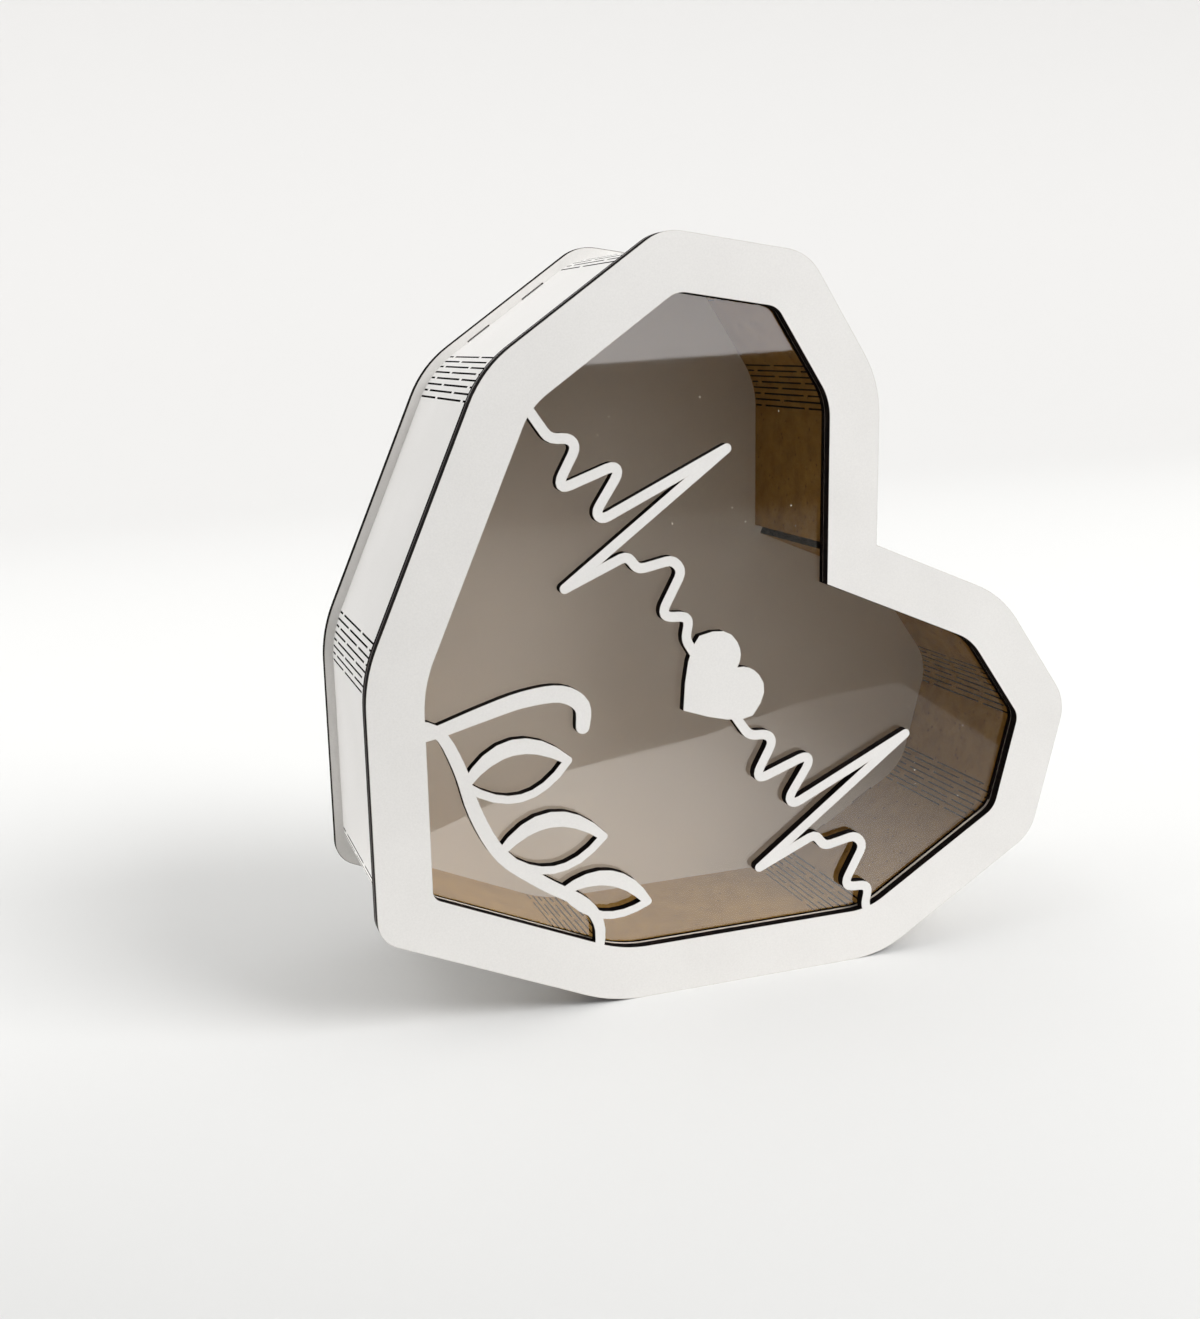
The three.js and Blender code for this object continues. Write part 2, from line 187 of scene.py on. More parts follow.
@dataclass(frozen=True)
class CharredEdge:
    """Laser-cut edge of fibreboard: soot black, with fine streaks across the board."""

    name: str = "charred_edge"
    black: str = "#070505"
    brown: str = "#1a110d"
    streak_mm: float = 0.5
    streak_depth_mm: float = 0.08
    streak_squeeze: float = 0.12
    spot_mm: float = 4.0
    roughness: float = 0.9
    gloss: float = 0.06

    def make(self) -> bpy.types.Material:
        """Builds the material: streaks run along the depth, so Y is squeezed in the pattern."""
        m = new_material(self.name)
        place = add_node(m, "ShaderNodeTexCoord").outputs["Object"]
        drawn = add_node(m, "ShaderNodeMapping", Vector=place,
                         Scale=(1.0, self.streak_squeeze, 1.0)).outputs[0]
        streak = add_node(m, "ShaderNodeTexNoise", Vector=drawn, Scale=1 / (self.streak_mm * MM),
                          Detail=2.0).outputs["Fac"]
        spots = add_node(m, "ShaderNodeTexNoise", Vector=place, Scale=1 / (self.spot_mm * MM),
                         Detail=3.0).outputs["Fac"]
        both = add_node(m, "ShaderNodeMath", {"operation": "MULTIPLY"},
                        i0=streak, i1=spots).outputs[0]
        shade = add_node(m, "ShaderNodeMapRange", Value=both,
                         From_Min=0.2, From_Max=0.42).outputs[0]
        colour = add_node(m, "ShaderNodeMix", {"data_type": "RGBA"}, i0=shade,
                          i6=linear(self.black), i7=linear(self.brown)).outputs[2]
        bump = add_node(m, "ShaderNodeBump", Strength=0.5, Distance=self.streak_depth_mm * MM,
                        Height=streak)
        shader = add_node(m, "ShaderNodeBsdfPrincipled", Base_Color=colour,
                          Roughness=self.roughness, IOR=1.45, Specular_IOR_Level=self.gloss,
                          Normal=bump.outputs[0])
        return finish_material(m, shader)


@dataclass(frozen=True)
class RawFibreboard:
    """Bare pressed-fibre face: golden brown, matted with short fibres and darker flecks."""

    name: str = "raw_fibreboard"
    light: str = "#b6934b"
    mid: str = "#997632"
    fleck: str = "#4f3210"
    fibre_mm: float = 1.6
    fibre_height_mm: float = 0.08
    mottle_mm: float = 7.0
    fleck_mm: float = 3.2
    roughness: float = 0.72

    def make(self) -> bpy.types.Material:
        """Builds the material: stretched fibres, pressed mottling and sparse dark flecks."""
        m = new_material(self.name)
        place = add_node(m, "ShaderNodeTexCoord").outputs["Object"]
        mottle = add_node(m, "ShaderNodeTexNoise", Vector=place, Scale=1 / (self.mottle_mm * MM),
                          Detail=4.0, Roughness=0.6).outputs["Fac"]
        fibres = add_node(m, "ShaderNodeTexNoise", Vector=place, Scale=1 / (self.fibre_mm * MM),
                          Detail=5.0, Roughness=0.75, Distortion=1.2).outputs["Fac"]
        both = add_node(m, "ShaderNodeMath", {"operation": "ADD"},
                        i0=mottle, i1=fibres).outputs[0]
        shade = add_node(m, "ShaderNodeMapRange", Value=both,
                         From_Min=0.75, From_Max=1.25).outputs[0]
        board = add_node(m, "ShaderNodeMix", {"data_type": "RGBA"}, i0=shade,
                         i6=linear(self.mid), i7=linear(self.light)).outputs[2]
        cells = add_node(m, "ShaderNodeTexVoronoi", Vector=place,
                         Scale=1 / (self.fleck_mm * MM)).outputs["Distance"]
        flecks = add_node(m, "ShaderNodeMapRange", Value=cells, From_Min=0.1, From_Max=0.16,
                          To_Min=0.7, To_Max=0.0).outputs[0]
        colour = add_node(m, "ShaderNodeMix", {"data_type": "RGBA"}, i0=flecks,
                          i6=board, i7=linear(self.fleck)).outputs[2]
        bump = add_node(m, "ShaderNodeBump", Strength=0.35, Distance=self.fibre_height_mm * MM,
                        Height=fibres)
        shader = add_node(m, "ShaderNodeBsdfPrincipled", Base_Color=colour,
                          Roughness=self.roughness, IOR=1.45, Normal=bump.outputs[0])
        return finish_material(m, shader)


@dataclass(frozen=True)
class SmokedAcrylic:
    """Cast smoked acrylic sheet: glossy and flat, see-through with a warm grey tint."""

    name: str = "smoked_acrylic"
    tint: str = "#d8d2ca"
    roughness: float = 0.015
    haze: float = 0.03
    haze_mm: float = 45.0
    wave_mm: float = 60.0
    wave_height_mm: float = 0.3
    ior: float = 1.49
    gloss: float = 1.0

    def make(self) -> bpy.types.Material:
        """Builds the material: plain see-through values, with a faint haze in roughness."""
        m = new_material(self.name)
        place = add_node(m, "ShaderNodeTexCoord").outputs["Object"]
        haze = add_node(m, "ShaderNodeTexNoise", Vector=place, Scale=1 / (self.haze_mm * MM),
                        Detail=3.0).outputs["Fac"]
        wave = add_node(m, "ShaderNodeTexNoise", Vector=place, Scale=1 / (self.wave_mm * MM),
                        Detail=0.0).outputs["Fac"]
        rough = add_node(m, "ShaderNodeMapRange", Value=haze, From_Min=0.4, From_Max=0.7,
                         To_Min=self.roughness, To_Max=self.roughness + self.haze).outputs[0]
        bump = add_node(m, "ShaderNodeBump", Strength=0.05, Distance=self.wave_height_mm * MM,
                        Height=wave)
        shader = add_node(m, "ShaderNodeBsdfPrincipled", Base_Color=linear(self.tint),
                          Roughness=rough, IOR=self.ior, Transmission_Weight=1.0,
                          Specular_IOR_Level=self.gloss, Normal=bump.outputs[0])
        return finish_material(m, shader)


@dataclass(frozen=True)
class AcrylicRim:
    """Laser-cut rim of the smoked sheet: dark and dull from the cut, with a painted highlight
    line.
    """

    name: str = "acrylic_rim_painted_highlight"
    dark: str = "#0b0807"
    core: str = "#5f5250"
    highlight_half_mm: float = 0.22
    middle_mm: float = -37.05
    patch_mm: float = 18.0
    roughness: float = 0.7
    gloss: float = 0.2

    def make(self) -> bpy.types.Material:
        """Builds the material: the painted highlight follows the middle of the sheet's thickness.
        """
        m = new_material(self.name)
        place = add_node(m, "ShaderNodeTexCoord").outputs["Object"]
        depth = add_node(m, "ShaderNodeSeparateXYZ", Vector=place).outputs["Y"]
        off = add_node(m, "ShaderNodeMath", {"operation": "SUBTRACT"},
                       i0=depth, i1=self.middle_mm * MM).outputs[0]
        away = add_node(m, "ShaderNodeMath", {"operation": "ABSOLUTE"}, i0=off).outputs[0]
        # painted highlight: a pale line along the middle of the rim's depth, broken up by patchy
        # noise
        line = add_node(m, "ShaderNodeMapRange", Value=away, From_Min=self.highlight_half_mm * MM,
                        From_Max=2 * self.highlight_half_mm * MM, To_Min=1.0, To_Max=0.0).outputs[0]
        patchy = add_node(m, "ShaderNodeTexNoise", Vector=place,
                          Scale=1 / (self.patch_mm * MM)).outputs["Fac"]
        amount = add_node(m, "ShaderNodeMath", {"operation": "MULTIPLY"},
                          i0=line, i1=patchy).outputs[0]
        colour = add_node(m, "ShaderNodeMix", {"data_type": "RGBA"}, i0=amount,
                          i6=linear(self.dark), i7=linear(self.core)).outputs[2]
        shader = add_node(m, "ShaderNodeBsdfPrincipled", Base_Color=colour,
                          Roughness=self.roughness, IOR=1.49, Specular_IOR_Level=self.gloss)
        return finish_material(m, shader)


@dataclass(frozen=True)
class SettledDust:
    """Specks of lint and board dust on the pane: matte and pale, each a little different."""

    name: str = "settled_dust"
    light: str = "#d9d2c4"
    dark: str = "#a59c8c"
    cloud_mm: float = 0.4
    roughness: float = 0.8

    def make(self) -> bpy.types.Material:
        """Builds the material from two close shades."""
        m = new_material(self.name)
        place = add_node(m, "ShaderNodeTexCoord").outputs["Object"]
        cloud = add_node(m, "ShaderNodeTexNoise", Vector=place, Scale=1 / (self.cloud_mm * MM),
                         Detail=2.0).outputs["Fac"]
        colour = add_node(m, "ShaderNodeMix", {"data_type": "RGBA"}, i0=cloud,
                          i6=linear(self.dark), i7=linear(self.light)).outputs[2]
        shader = add_node(m, "ShaderNodeBsdfPrincipled", Base_Color=colour,
                          Roughness=self.roughness)
        return finish_material(m, shader)


@dataclass(frozen=True)
class PaperWithPaintedShade:
    """Matte studio paper with painted shade: a little darker where it rises behind the box."""

    name: str = "studio_paper_painted_shade"
    near: str = "#e0e0df"
    # painted shade: the darker colour towards the back
    far: str = "#cecdcc"
    start: float = 0.3
    end: float = 2.2
    roughness: float = 0.85

    def make(self) -> bpy.types.Material:
        """Builds the material: the painted shade follows the distance behind the box."""
        m = new_material(self.name)
        place = add_node(m, "ShaderNodeTexCoord").outputs["Object"]
        behind = add_node(m, "ShaderNodeSeparateXYZ", Vector=place).outputs["Y"]
        shade = add_node(m, "ShaderNodeMapRange", {"interpolation_type": "SMOOTHSTEP"},
                         Value=behind, From_Min=self.start, From_Max=self.end).outputs[0]
        colour = add_node(m, "ShaderNodeMix", {"data_type": "RGBA"}, i0=shade,
                          i6=linear(self.near), i7=linear(self.far)).outputs[2]
        shader = add_node(m, "ShaderNodeBsdfPrincipled", Base_Color=colour,
                          Roughness=self.roughness)
        return finish_material(m, shader)


@dataclass(frozen=True)
class Glow:
    """Even glow of a light card, or one that fades from left to right."""

    name: str
    colour: str
    strength: float
    faded: float = 1.0
    span: tuple[float, float] = (0.0, 1.0)

    def make(self) -> bpy.types.Material:
        """Builds an emission material whose strength follows X."""
        m = new_material(self.name)
        place = add_node(m, "ShaderNodeTexCoord").outputs["Object"]
        across = add_node(m, "ShaderNodeSeparateXYZ", Vector=place).outputs["X"]
        power = add_node(m, "ShaderNodeMapRange", {"interpolation_type": "SMOOTHSTEP"},
                         Value=across, From_Min=self.span[0], From_Max=self.span[1],
                         To_Min=self.strength, To_Max=self.strength * self.faded).outputs[0]
        shader = add_node(m, "ShaderNodeEmission", Color=linear(self.colour), Strength=power)
        return finish_material(m, shader)


@dataclass(frozen=True)
class Straight:
    """Straight stretch of the wall's outer line."""

    start: Vector
    end: Vector

    @property
    def length(self) -> float:
        """Length along the outer face."""
        return (self.end - self.start).length

    def at(self, along: float, inward: float) -> Vector:
        """Point at a length along the stretch and a distance in from the outer face."""
        run = (self.end - self.start).normalized()
        return self.start + along * run + inward * Vector((run.y, -run.x))


@dataclass(frozen=True)
class Bend:
    """Living hinge: an arc of the wall's outer line."""

    centre: Vector
    first_angle: float
    turn: float
    radius: float

    @property
    def length(self) -> float:
        """Length along the outer face."""
        return self.radius * self.turn

    def at(self, along: float, inward: float) -> Vector:
        """Point at a length along the arc and a distance in from the outer face."""
        angle = self.first_angle - along / self.radius
        return self.centre + (self.radius - inward) * Vector((math.cos(angle), math.sin(angle)))


@dataclass(frozen=True)
class HeartPlan:
    """Outline of the heart and the depths of its layers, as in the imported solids.

    The corners of one half are shares of half the width and of the height. The lean is the
    angle, in radians, by which the heart is turned to stand on its lower side.
    """

    width_mm: float = 237.3
    height_mm: float = 223.8
    notch_mm: float = 28.8
    side: tuple[tuple[float, float], ...] = (
        (0.556, 0.195), (0.984, 0.548), (1.0, 0.845), (0.737, 1.0), (0.352, 0.996),
    )
    overhang_mm: float = 3.0
    board_mm: float = 3.0
    pane_mm: float = 1.0
    frame_mm: float = 1.5
    gap_mm: float = 0.3
    wall_mm: float = 72.0
    hinge_mm: float = 18.4
    lean: float = 0.9994983848
    shift_x_mm: float = -117.162
    shift_z_mm: float = 31.896
    shift_y_mm: float = -40.85

    def corners(self) -> list[Vector]:
        """Corner points clockwise from the tip up the left side."""
        half = self.width_mm / 2
        left = [Vector((-a * half, u * self.height_mm)) for a, u in self.side]
        right = [Vector((a * half, u * self.height_mm)) for a, u in reversed(self.side)]
        notch = Vector((0.0, self.height_mm - self.notch_mm))
        return [Vector((0.0, 0.0)), *left, notch, *right]

    def inset(self, distance: float) -> list[Vector]:
        """Corner points of the outline moved inwards.

        Args:
            distance: Millimetres to move each side.

        Returns:
            The moved corner points, in the same order.
        """
        points = self.corners()
        moved = []
        for i, point in enumerate(points):
            first = (point - points[i - 1]).normalized()
            second = (points[(i + 1) % len(points)] - point).normalized()
            across = Vector((first.y + second.y, -first.x - second.x))
            moved.append(point + across * (2 * distance / across.length_squared))
        return moved

    def wall_line(self) -> list[Straight | Bend]:
        """Outer line of the wall from the notch clockwise back to the notch.

        Returns:
            Straight stretches and bends in turn, in panel millimetres.
        """
        points = self.inset(self.overhang_mm)
        notch = len(self.side) + 1
        points = [*points[notch:], *points[:notch + 1]]
        parts: list[Straight | Bend] = []
        at = points[0]
        for before, point, after in zip(points, points[1:], points[2:]):
            into, out = (point - before).normalized(), (after - point).normalized()
            turn = into.angle(out)
            radius = self.hinge_mm / turn
            reach = radius * math.tan(turn / 2)
            start, end = point - into * reach, point + out * reach
            centre = start + Vector((into.y, -into.x)) * radius
            first = math.atan2(start.y - centre.y, start.x - centre.x)
            parts += [Straight(at, start), Bend(centre, first, turn, radius)]
            at = end
        return [*parts, Straight(at, points[-1])]

    def place(self, point: Vector, depth_mm: float) -> Vector:
        """Puts a panel point into the frame.

        Args:
            point: Millimetres across and up the panel.
            depth_mm: Depth behind the front face.

        Returns:
            The place in metres.
        """
        c, s = math.cos(self.lean), math.sin(self.lean)
        x = point.x * c + point.y * s + self.shift_x_mm
        z = -point.x * s + point.y * c + self.shift_z_mm
        return Vector((x, depth_mm + self.shift_y_mm, z)) * MM

    def depths(self) -> dict[str, tuple[float, float]]:
        """Near and far depth of each packed layer, in millimetres."""
        pane = self.board_mm + self.gap_mm
        ring = pane + self.pane_mm + self.gap_mm
        wall = ring + self.frame_mm + self.gap_mm
        back = wall + self.wall_mm + self.gap_mm
        return {
            "front_plate": (0.0, self.board_mm),
            "window_pane": (pane, pane + self.pane_mm),
            "rear_frame": (ring, ring + self.frame_mm),
            "wall_strip": (wall, wall + self.wall_mm),
            "back_plate": (back, back + self.board_mm),
        }


@dataclass(frozen=True)
class Finishes:
    """The materials that the pieces share."""

    face: bpy.types.Material
    edge: bpy.types.Material
    raw: bpy.types.Material
    pane: bpy.types.Material
    rim: bpy.types.Material
    dust: bpy.types.Material
    wall: bpy.types.Material

    @classmethod
    def mixed(cls) -> "Finishes":
        """Makes every finish once."""
        return cls(
            face=MelamineFace().make(),
            edge=CharredEdge().make(),
            raw=RawFibreboard().make(),
            pane=SmokedAcrylic().make(),
            rim=AcrylicRim().make(),
            dust=SettledDust().make(),
            # painted light: a lighter copy of the face laminate, standing in for the brighter
            # light on the wall
            wall=MelamineFace(name="melamine_wall_painted_light", light="#f0eeec", dark="#e8e6e3").make(),
        )


def keep_piece(
    bm: bmesh.types.BMesh,
    name: str,
    materials: list[bpy.types.Material],
    node: str | None,
) -> bpy.types.Object:
    """Turns a finished bmesh into a piece that rides on the box.

    Args:
        bm: The mesh; it is freed.
        name: Name of the piece.
        materials: Materials in slot order.
        node: CAD node that the piece stands for, if any.

    Returns:
        The new object.
    """
    mesh = bpy.data.meshes.new(name)
    bm.to_mesh(mesh)
    bm.free()
    for material in materials:
        mesh.materials.append(material)
    piece = bpy.data.objects.new(name, mesh)
    bpy.context.scene.collection.objects.link(piece)
    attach(piece, "root")
    if node:
        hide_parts(node)
    log.info("%s: %d faces", name, len(mesh.polygons))
    return piece


def soften(bm: bmesh.types.BMesh, angle_deg: float) -> None:
    """Smooths faces except across sharp edges.

    Args:
        bm: The mesh.
        angle_deg: Angle above which an edge stays sharp.
    """
    for face in bm.faces:
        face.smooth = True
    for edge in bm.edges:
        if not edge.is_manifold or edge.calc_face_angle(0.0) > math.radians(angle_deg):
            edge.smooth = False


@dataclass
class BoardStack:
    """The flat layers: front plate, pane, rear frame and back plate.

    A face counts as flat to the front or back where its normal's Y passes faced, and as tilted
    to the window where its normal passes tilted.
    """

    plan: HeartPlan
    finishes: Finishes
    merge_mm: float = 0.004
    flat_deg: float = 0.4
    rim_bevel_mm: float = 0.14
    lip_mm: float = 0.3
    soot_reach_mm: float = 0.4
    smooth_deg: float = 20.0
    faced: float = 0.9
    tilted: float = 0.3

    def copied(self, node: str) -> bmesh.types.BMesh:
        """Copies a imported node's mesh, merged and with its flat faces joined up.

        Args:
            node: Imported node.

        Returns:
            The copy.
        """
        bm = bmesh.new()
        bm.from_mesh(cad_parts[node].data)
        bmesh.ops.remove_doubles(bm, verts=bm.verts, dist=self.merge_mm * MM)
        bmesh.ops.dissolve_limit(bm, angle_limit=math.radians(self.flat_deg),
                                 verts=bm.verts, edges=bm.edges)
        return bm

    def closed_up(self, bm: bmesh.types.BMesh, node: str, near: bool, far: bool) -> None:
        """Moves a layer's faces half a gap outwards, so that glued layers touch.

        Args:
            bm: The layer's mesh.
            node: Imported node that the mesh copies.
            near: Whether the face towards the window moves.
            far: Whether the face towards the back moves.
        """
        first, last = self.plan.depths()[node]
        middle = ((first + last) / 2 + self.plan.shift_y_mm) * MM
        step = self.plan.gap_mm / 2 * MM
        for vert in bm.verts:
            if vert.co.y < middle and near:
                vert.co.y -= step
            elif vert.co.y > middle and far:
                vert.co.y += step

    def cut_board(self, bm: bmesh.types.BMesh, back_is_raw: bool) -> None:
        """Breaks a board's rims, tells face, back and edge apart, and lays soot along the cuts.

        Args:
            bm: The board's mesh.
            back_is_raw: Whether the side towards the back is bare fibreboard; on such a board the
            bevels of the cut edges that face up and forward get the pale face material as a
            painted highlight.
        """
        rims = [
            e for e in bm.edges
            if len(e.link_faces) == 2
            and any(abs(f.normal.y) > self.faced for f in e.link_faces)
            and any(abs(f.normal.y) < 1 - self.faced for f in e.link_faces)
        ]
        reach = self.lip_mm if back_is_raw else self.rim_bevel_mm
        bmesh.ops.bevel(bm, geom=rims, offset=reach * MM, segments=1, profile=0.5,
                        affect="EDGES", material=-1, clamp_overlap=True)
        bm.normal_update()
        layer = bm.verts.layers.float.new("cut_rim")
        for sign in (-1, 1):
            flat = [f for f in bm.faces if f.normal.y * sign > self.faced]
            outer = {v for f in flat for v in f.verts}
            for vert in outer:
                vert[layer] = 1.0
            bmesh.ops.inset_region(bm, faces=flat, thickness=self.soot_reach_mm * MM,
                                   use_boundary=True, use_even_offset=True)
            for vert in {v for f in flat if f.is_valid for v in f.verts}:
                vert[layer] = 0.0
        bm.normal_update()
        for face in bm.faces:
            if face.normal.y < -self.faced:
                face.material_index = Layer.FACE.value
            elif face.normal.y > self.faced:
                face.material_index = (Layer.BACK if back_is_raw else Layer.FACE).value
            else:
                # painted highlight: bevels facing up and forward to the window take the pale face
                # material
                painted_lip = back_is_raw and face.normal.y < -self.tilted and face.normal.z > self.tilted
                face.material_index = (Layer.FACE if painted_lip else Layer.EDGE).value
        soften(bm, self.smooth_deg)

    def board(self, node: str, near: bool, far: bool, back_is_raw: bool, slot: str) -> None:
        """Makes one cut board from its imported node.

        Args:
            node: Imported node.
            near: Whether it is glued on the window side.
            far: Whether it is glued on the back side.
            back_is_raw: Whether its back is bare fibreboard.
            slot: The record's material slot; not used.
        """
        bm = self.copied(node)
        self.closed_up(bm, node, near, far)
        self.cut_board(bm, back_is_raw)
        coats = [self.finishes.face, self.finishes.raw, self.finishes.edge]
        keep_piece(bm, f"{node}_board", coats, node)

    def pane(self) -> None:
        """Makes the smoked pane, with its cut rim told apart from its faces."""
        bm = self.copied("window_pane")
        self.closed_up(bm, "window_pane", True, True)
        bm.normal_update()
        for face in bm.faces:
            face.material_index = 0 if abs(face.normal.y) > self.faced else 1
        soften(bm, self.smooth_deg)
        coats = [self.finishes.pane, self.finishes.rim]
        sheet = keep_piece(bm, "smoked_pane", coats, "window_pane")
        sheet.visible_shadow = False  # the lamps' light falls in through the sheet

    def build(self) -> None:
        """Makes all flat layers."""
        self.board("front_plate", near=False, far=True, back_is_raw=False, slot="laminate")
        self.pane()
        self.board("rear_frame", near=True, far=True, back_is_raw=True, slot="fibreboard")
        self.board("back_plate", near=True, far=False, back_is_raw=False, slot="laminate")


@dataclass
class BentWall:
    """The wall: one strip with a brick pattern of thin laser cuts at every bend.

    The cuts stop at bridges, given by their distances from the back end of the strip. The tabs
    pass through the back plate beside the corners named in tab_corners.
    """

    plan: HeartPlan
    finishes: Finishes
    cuts_per_bend: int = 8
    cut_pitch_mm: float = 2.6
    cut_width_mm: float = 0.66
    groove_mm: float = 1.3
    end_web_mm: float = 0.5
    tab_swell_mm: float = 0.2
    seam_mm: float = 0.2
    tab_length_mm: float = 8.2
    tab_spacing_mm: float = 23.2
    tab_reach_mm: float = 3.15
    tab_straights: tuple[int, int] = (6, 16)
    tab_corners: tuple[tuple[int, int], tuple[int, int]] = ((9, 10), (2, 3))
    level_tolerance_mm: float = 1e-4
    start_tolerance_mm: float = 1e-6
    odd_bridges_mm: tuple[tuple[float, float], ...] = ((20.6, 23.6), (54.4, 57.4))
    even_bridges_mm: tuple[tuple[float, float], ...] = ((5.4, 8.4), (39.0, 42.0))

    def starts(self) -> list[float]:
        """Length along the strip at which each stretch and bend starts."""
        total, starts = 0.0, []
        for part in self.plan.wall_line():
            starts.append(total)
            total += part.length
        return [*starts, total]

    def cuts(self) -> list[tuple[float, float, int]]:
        """Start and end of every cut along the strip, with its number within the bend."""
        found = []
        for part, start in zip(self.plan.wall_line(), self.starts()):
            if isinstance(part, Bend):
                pitch = min(self.cut_pitch_mm, part.length / self.cuts_per_bend)
                for k in range(self.cuts_per_bend):
                    middle = start + part.length / 2 + (k - (self.cuts_per_bend - 1) / 2) * pitch
                    half = self.cut_width_mm / 2
                    found.append((middle - half, middle + half, k))
        return found

    def tabs(self) -> list[tuple[float, float]]:
        """Start and end of every tab along the strip."""
        found = []
        line, starts = self.plan.wall_line(), self.starts()
        corners = self.plan.inset(self.plan.overhang_mm)
        for index, sides in zip(self.tab_straights, self.tab_corners):
            part = line[index]
            middle = sum((corners[i] for i in sides), Vector((0.0, 0.0))) / 2
            run = (part.end - part.start).normalized()
            along = starts[index] + (middle - part.start).dot(run)
            for sign in (-1, 1):
                centre = along + sign * self.tab_spacing_mm / 2
                found.append((centre - self.tab_length_mm / 2, centre + self.tab_length_mm / 2))
        return found

    def flat_strip(self) -> bmesh.types.BMesh:
        """Lays out the strip flat: x along it, y its depth from the front, z outwards."""
        total = self.starts()[-1]
        cuts, tabs = self.cuts(), self.tabs()
        depth = self.plan.wall_mm + self.plan.gap_mm
        columns = {self.seam_mm, total - self.seam_mm}
        columns |= {x for start, end, _ in cuts for x in (start, end)}
        columns |= {x for span in tabs for x in span}
        rows = {0.0, self.end_web_mm, depth - self.end_web_mm, depth, depth + self.tab_reach_mm}
        bridges = (*self.odd_bridges_mm, *self.even_bridges_mm)
        rows |= {depth - y for bridge in bridges for y in bridge}
        xs, ys = sorted(columns), sorted(rows)
        bm = bmesh.new()
        bmesh.ops.create_grid(bm, x_segments=len(xs) - 1, y_segments=len(ys) - 1, size=0.5)
        for vert in bm.verts:
            i = round((vert.co.x + 0.5) * (len(xs) - 1))
            j = round((vert.co.y + 0.5) * (len(ys) - 1))
            vert.co = Vector((xs[i], ys[j], 0.0))
        gone = [
            face for face in bm.faces
            if (middle := face.calc_center_median()).y > depth
            and not any(start < middle.x < end for start, end in tabs)
        ]
        bmesh.ops.delete(bm, geom=gone, context="FACES")
        return bm

    def is_cut(self, middle: Vector) -> bool:
        """Tells whether a face of the flat strip lies in a cut.

        Args:
            middle: Middle of the face.

        Returns:
            Whether it does.
        """
        depth = self.plan.wall_mm + self.plan.gap_mm
        if not self.end_web_mm < middle.y < depth - self.end_web_mm:
            return False
        for start, end, k in self.cuts():
            if start < middle.x < end:
                bridges = self.even_bridges_mm if k % 2 else self.odd_bridges_mm
                return not any(depth - far < middle.y < depth - near for near, far in bridges)
        return False

    def scored(self, bm: bmesh.types.BMesh) -> None:
        """Sinks the cuts into both faces of the thick flat strip, down to a charred core."""
        for level, way in ((0.0, -1.0), (-self.plan.board_mm, 1.0)):
            faces = [
                f for f in bm.faces
                if all(abs(v.co.z - level) < self.level_tolerance_mm for v in f.verts)
                and self.is_cut(f.calc_center_median())
            ]
            sunk = bmesh.ops.extrude_face_region(bm, geom=faces)["geom"]
            verts = [v for v in sunk if isinstance(v, bmesh.types.BMVert)]
            bmesh.ops.translate(bm, verts=verts, vec=(0.0, 0.0, way * self.groove_mm))
            bmesh.ops.delete(bm, geom=[f for f in faces if f.is_valid], context="FACES_ONLY")

    def bent(self, bm: bmesh.types.BMesh) -> None:
        """Bends the flat strip round the heart."""
        line, starts = self.plan.wall_line(), self.starts()
        near = self.plan.depths()["wall_strip"][0] - self.plan.gap_mm / 2
        depth = self.plan.wall_mm + self.plan.gap_mm
        for vert in bm.verts:
            reached = vert.co.x + self.start_tolerance_mm
            index = max(i for i, start in enumerate(starts[:-1]) if start <= reached)
            swell = self.tab_swell_mm if vert.co.y > depth + self.plan.gap_mm / 2 else 0.0
            out = vert.co.z + (swell if vert.co.z > -self.plan.board_mm / 2 else -swell)
            point = line[index].at(vert.co.x - starts[index], -out)
            vert.co = self.plan.place(point, near + vert.co.y)

    def build(self) -> bpy.types.Object:
        """Cuts, thickens and bends the strip."""
        bm = self.flat_strip()
        grown = bmesh.ops.extrude_face_region(bm, geom=list(bm.faces), use_keep_orig=True)
        inner = [v for v in grown["geom"] if isinstance(v, bmesh.types.BMVert)]
        bmesh.ops.translate(bm, verts=inner, vec=(0.0, 0.0, -self.plan.board_mm))
        self.scored(bm)
        outsides = {0.0, -self.plan.board_mm}
        for face in bm.faces:
            levels = {round(v.co.z, 3) for v in face.verts}
            if len(levels) > 1 or not levels & outsides:
                face.material_index = Layer.EDGE.value
            else:
                face.material_index = (Layer.FACE if levels == {0.0} else Layer.BACK).value
        self.bent(bm)
        bmesh.ops.recalc_face_normals(bm, faces=bm.faces)
        coats = [self.finishes.wall, self.finishes.raw, self.finishes.edge]
        return keep_piece(bm, "bent_wall", coats, "wall_strip")


